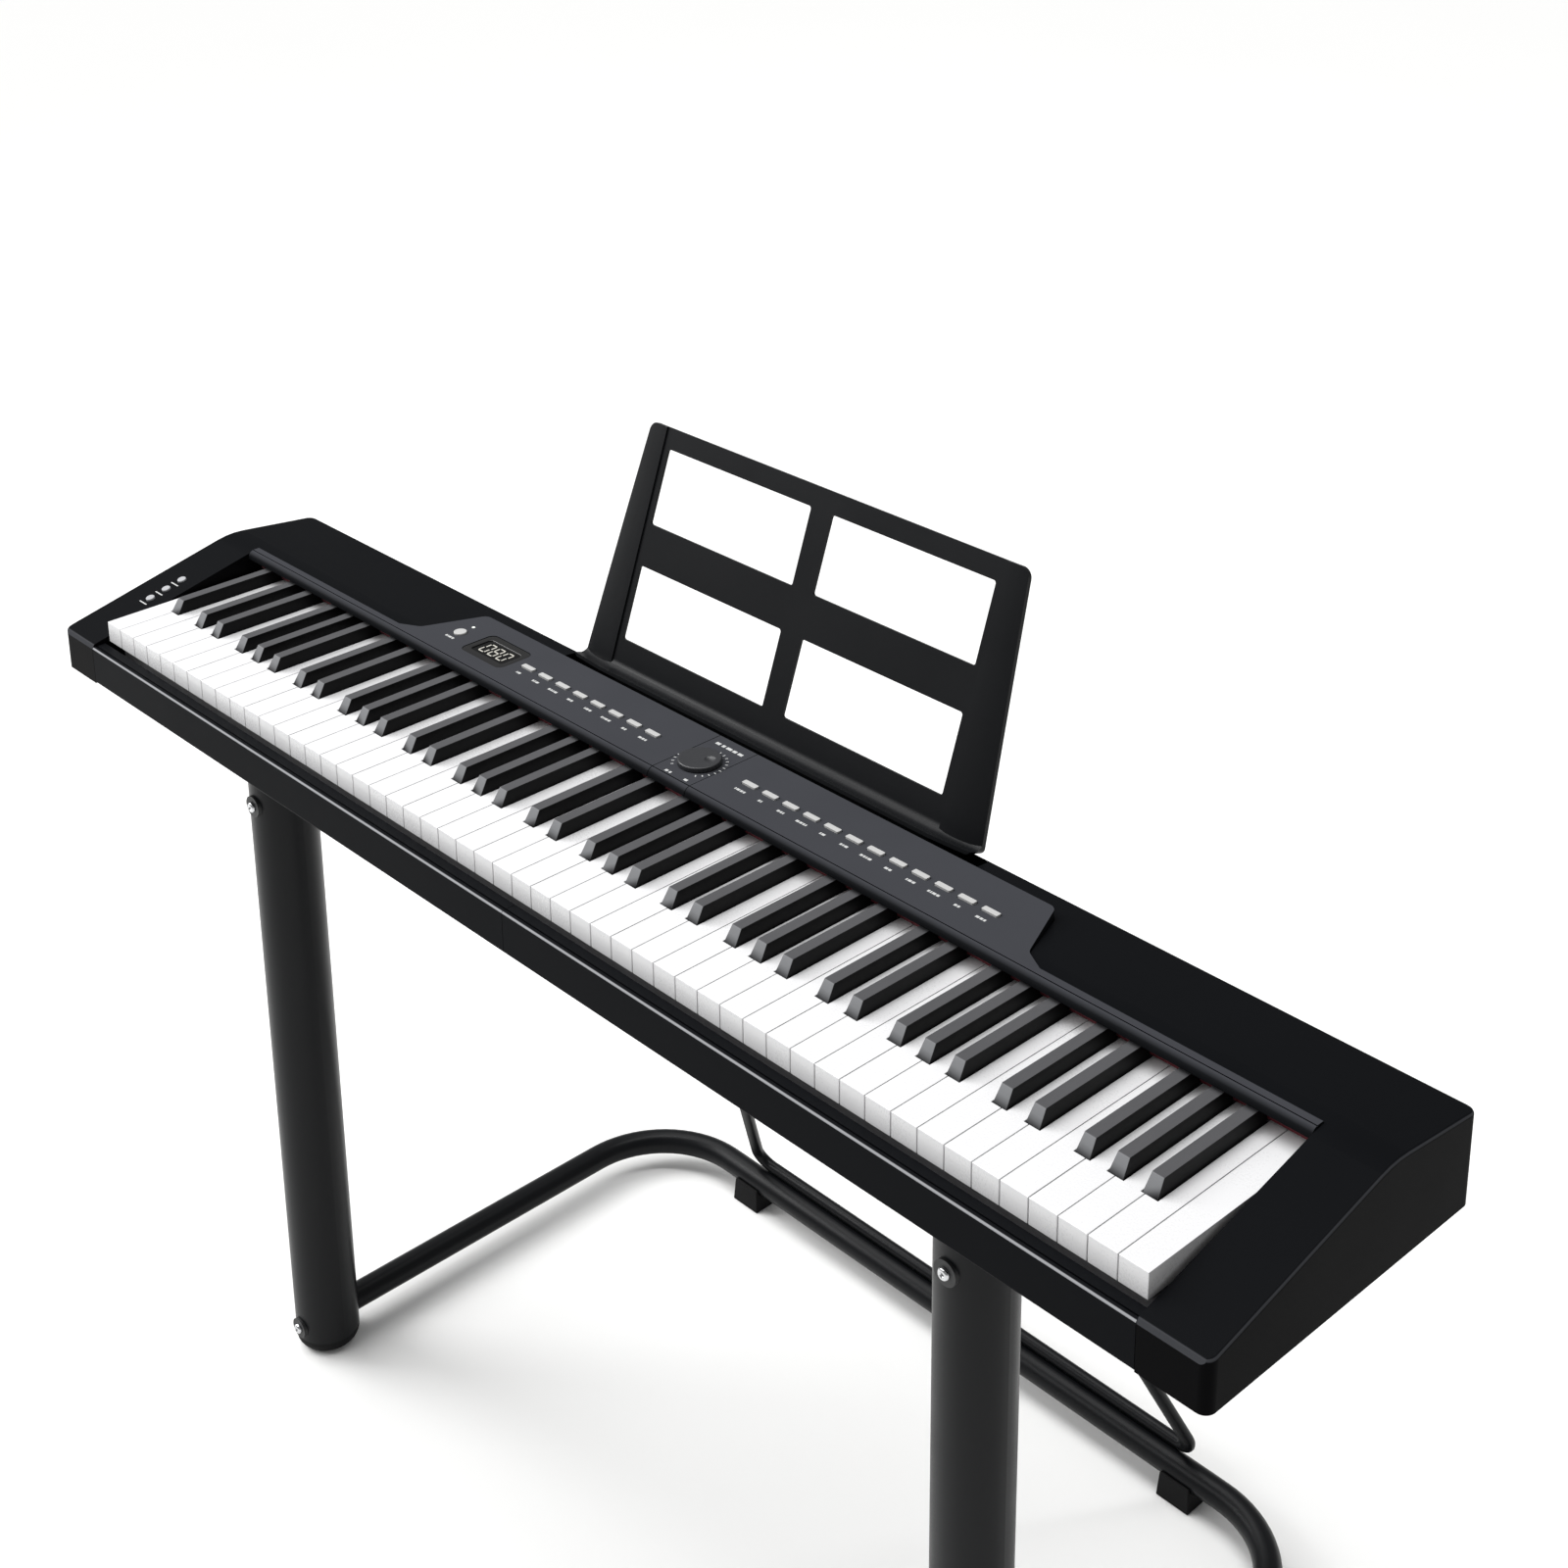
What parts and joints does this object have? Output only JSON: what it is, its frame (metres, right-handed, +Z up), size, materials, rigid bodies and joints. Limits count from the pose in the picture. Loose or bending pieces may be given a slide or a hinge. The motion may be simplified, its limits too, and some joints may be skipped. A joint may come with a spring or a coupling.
{
  "type": "digital piano on stand",
  "caption": "Full-size digital piano with 88 hinged keys, control panel and lift-off music rest on a stand of round legs, bent floor tube and braced back.",
  "frame": {"origin": "on the floor, under the middle of the object's box", "axes": "+X runs to the treble end along the keyboard, -Y faces the player, +Z is up"},
  "size_m": [1.336, 0.528, 0.9414],
  "materials": {
    "case_black": "fine moulded satin",
    "case_gloss_black": "semi-gloss moulded",
    "panel_satin_black": "satin dark grey",
    "zinc_steel": "zinc plated",
    "felt_grey": "felt",
    "felt_red": "felt",
    "circuit_board": "solder mask",
    "silicone_rubber": "matte",
    "speaker_black": "matte",
    "socket_black": "satin",
    "smoked_window": "clear, smoked",
    "lamp": "diffuse",
    "screw_steel": "bright",
    "washer_black": "satin",
    "stand_black": "semi-gloss powder coat",
    "brace_black": "semi-gloss powder coat",
    "rubber_black": "matte",
    "socket_plug": "matte",
    "key_white": "semi-gloss",
    "key_black": "satin",
    "button_white": "satin",
    "dial_grey": "satin",
    "rest_black": "satin"
  },
  "bodies": {
    "case": {"bottom_case": "case_black", "top_case": "case_gloss_black", "control_panel_left": "panel_satin_black", "control_panel_right": "panel_satin_black", "control_panel_middle": "panel_satin_black", "front_rail_left": "case_black", "front_rail_right": "case_black", "key_chassis": "zinc_steel", "key_hinge_rod": "zinc_steel", "key_stop_felt": "felt_grey", "name_felt": "felt_red", "contact_board": "circuit_board", "contact_strip": "silicone_rubber", "main_board": "circuit_board", "speaker_left": "speaker_black", "speaker_right": "speaker_black", "display_frame": "socket_black", "display_window": "smoked_window", "power_lamp": "lamp", "jack_sockets": "socket_black", "power_inlet": "socket_black", "case_screws": "screw_steel", "leg_left": "stand_black", "leg_right": "stand_black", "leg_foot_caps": "rubber_black", "leg_sockets": "socket_plug", "leg_bolts": "screw_steel", "bolt_washers": "washer_black", "floor_tube": "stand_black", "rear_brace": "brace_black", "brace_blocks": "rubber_black"},
    "keys_of_c": {"keys_c": "key_white"},
    "keys_of_c_sharp": {"keys_c_sharp": "key_black"},
    "keys_of_d": {"keys_d": "key_white"},
    "keys_of_d_sharp": {"keys_d_sharp": "key_black"},
    "keys_of_e": {"keys_e": "key_white"},
    "keys_of_f": {"keys_f": "key_white"},
    "keys_of_f_sharp": {"keys_f_sharp": "key_black"},
    "keys_of_g": {"keys_g": "key_white"},
    "keys_of_g_sharp": {"keys_g_sharp": "key_black"},
    "keys_of_a": {"keys_a": "key_white"},
    "keys_of_a_sharp": {"keys_a_sharp": "key_black"},
    "keys_of_b": {"keys_b": "key_white"},
    "power_button_body": {"power_button": "button_white"},
    "pair_1": {"button_pair_1": "button_white"},
    "pair_2": {"button_pair_2": "button_white"},
    "pair_3": {"button_pair_3": "button_white"},
    "pair_4": {"button_pair_4": "button_white"},
    "pair_5": {"button_pair_5": "button_white"},
    "pair_6": {"button_pair_6": "button_white"},
    "pair_7": {"button_pair_7": "button_white"},
    "pair_8": {"button_pair_8": "button_white"},
    "pair_9": {"button_pair_9": "button_white"},
    "pair_10": {"button_pair_10": "button_white"},
    "cap_button_1": {"end_cap_button_1": "button_white"},
    "cap_button_2": {"end_cap_button_2": "button_white"},
    "cap_button_3": {"end_cap_button_3": "button_white"},
    "dial_body": {"dial": "dial_grey"},
    "rest": {"music_rest": "rest_black"}
  },
  "joints": [
    {"name": "press_c", "type": "hinge", "parent": "case", "child": "keys_of_c", "pos_m": [0, -0.024, 0.713], "axis": [1, 0, 0], "range_deg": [0, 2.5], "stiffness_Nm_per_rad": 8, "springref_deg": -8.59},
    {"name": "press_c_sharp", "type": "hinge", "parent": "case", "child": "keys_of_c_sharp", "pos_m": [0, -0.024, 0.713], "axis": [1, 0, 0], "range_deg": [0, 2.5], "stiffness_Nm_per_rad": 8, "springref_deg": -8.59},
    {"name": "press_d", "type": "hinge", "parent": "case", "child": "keys_of_d", "pos_m": [0, -0.024, 0.713], "axis": [1, 0, 0], "range_deg": [0, 2.5], "stiffness_Nm_per_rad": 8, "springref_deg": -8.59},
    {"name": "press_d_sharp", "type": "hinge", "parent": "case", "child": "keys_of_d_sharp", "pos_m": [0, -0.024, 0.713], "axis": [1, 0, 0], "range_deg": [0, 2.5], "stiffness_Nm_per_rad": 8, "springref_deg": -8.59},
    {"name": "press_e", "type": "hinge", "parent": "case", "child": "keys_of_e", "pos_m": [0, -0.024, 0.713], "axis": [1, 0, 0], "range_deg": [0, 2.5], "stiffness_Nm_per_rad": 8, "springref_deg": -8.59},
    {"name": "press_f", "type": "hinge", "parent": "case", "child": "keys_of_f", "pos_m": [0, -0.024, 0.713], "axis": [1, 0, 0], "range_deg": [0, 2.5], "stiffness_Nm_per_rad": 8, "springref_deg": -8.59},
    {"name": "press_f_sharp", "type": "hinge", "parent": "case", "child": "keys_of_f_sharp", "pos_m": [0, -0.024, 0.713], "axis": [1, 0, 0], "range_deg": [0, 2.5], "stiffness_Nm_per_rad": 8, "springref_deg": -8.59},
    {"name": "press_g", "type": "hinge", "parent": "case", "child": "keys_of_g", "pos_m": [0, -0.024, 0.713], "axis": [1, 0, 0], "range_deg": [0, 2.5], "stiffness_Nm_per_rad": 8, "springref_deg": -8.59},
    {"name": "press_g_sharp", "type": "hinge", "parent": "case", "child": "keys_of_g_sharp", "pos_m": [0, -0.024, 0.713], "axis": [1, 0, 0], "range_deg": [0, 2.5], "stiffness_Nm_per_rad": 8, "springref_deg": -8.59},
    {"name": "press_a", "type": "hinge", "parent": "case", "child": "keys_of_a", "pos_m": [0, -0.024, 0.713], "axis": [1, 0, 0], "range_deg": [0, 2.5], "stiffness_Nm_per_rad": 8, "springref_deg": -8.59},
    {"name": "press_a_sharp", "type": "hinge", "parent": "case", "child": "keys_of_a_sharp", "pos_m": [0, -0.024, 0.713], "axis": [1, 0, 0], "range_deg": [0, 2.5], "stiffness_Nm_per_rad": 8, "springref_deg": -8.59},
    {"name": "press_b", "type": "hinge", "parent": "case", "child": "keys_of_b", "pos_m": [0, -0.024, 0.713], "axis": [1, 0, 0], "range_deg": [0, 2.5], "stiffness_Nm_per_rad": 8, "springref_deg": -8.59},
    {"name": "press_power", "type": "slide", "parent": "case", "child": "power_button_body", "axis": [0, 0, -1], "range_m": [0, 0.0008], "stiffness_N_per_m": 200, "springref_m": -0.002},
    {"name": "press_pair_1", "type": "slide", "parent": "case", "child": "pair_1", "axis": [0, 0, -1], "range_m": [0, 0.0008], "stiffness_N_per_m": 200, "springref_m": -0.002},
    {"name": "press_pair_2", "type": "slide", "parent": "case", "child": "pair_2", "axis": [0, 0, -1], "range_m": [0, 0.0008], "stiffness_N_per_m": 200, "springref_m": -0.002},
    {"name": "press_pair_3", "type": "slide", "parent": "case", "child": "pair_3", "axis": [0, 0, -1], "range_m": [0, 0.0008], "stiffness_N_per_m": 200, "springref_m": -0.002},
    {"name": "press_pair_4", "type": "slide", "parent": "case", "child": "pair_4", "axis": [0, 0, -1], "range_m": [0, 0.0008], "stiffness_N_per_m": 200, "springref_m": -0.002},
    {"name": "press_pair_5", "type": "slide", "parent": "case", "child": "pair_5", "axis": [0, 0, -1], "range_m": [0, 0.0008], "stiffness_N_per_m": 200, "springref_m": -0.002},
    {"name": "press_pair_6", "type": "slide", "parent": "case", "child": "pair_6", "axis": [0, 0, -1], "range_m": [0, 0.0008], "stiffness_N_per_m": 200, "springref_m": -0.002},
    {"name": "press_pair_7", "type": "slide", "parent": "case", "child": "pair_7", "axis": [0, 0, -1], "range_m": [0, 0.0008], "stiffness_N_per_m": 200, "springref_m": -0.002},
    {"name": "press_pair_8", "type": "slide", "parent": "case", "child": "pair_8", "axis": [0, 0, -1], "range_m": [0, 0.0008], "stiffness_N_per_m": 200, "springref_m": -0.002},
    {"name": "press_pair_9", "type": "slide", "parent": "case", "child": "pair_9", "axis": [0, 0, -1], "range_m": [0, 0.0008], "stiffness_N_per_m": 200, "springref_m": -0.002},
    {"name": "press_pair_10", "type": "slide", "parent": "case", "child": "pair_10", "axis": [0, 0, -1], "range_m": [0, 0.0008], "stiffness_N_per_m": 200, "springref_m": -0.002},
    {"name": "press_cap_1", "type": "slide", "parent": "case", "child": "cap_button_1", "axis": [0, 0.2272, -0.9738], "range_m": [0, 0.0008], "stiffness_N_per_m": 200, "springref_m": -0.002},
    {"name": "press_cap_2", "type": "slide", "parent": "case", "child": "cap_button_2", "axis": [0, 0.2272, -0.9738], "range_m": [0, 0.0008], "stiffness_N_per_m": 200, "springref_m": -0.002},
    {"name": "press_cap_3", "type": "slide", "parent": "case", "child": "cap_button_3", "axis": [0, 0.2272, -0.9738], "range_m": [0, 0.0008], "stiffness_N_per_m": 200, "springref_m": -0.002},
    {"name": "turn_dial", "type": "hinge", "parent": "case", "child": "dial_body", "pos_m": [0, -0.06, 0.744], "axis": [0, 0, 1], "continuous": true},
    {"name": "lift_rest", "type": "slide", "parent": "case", "child": "rest", "axis": [0, 0.3355, 0.9421], "range_m": [0, 0.05]}
  ]
}
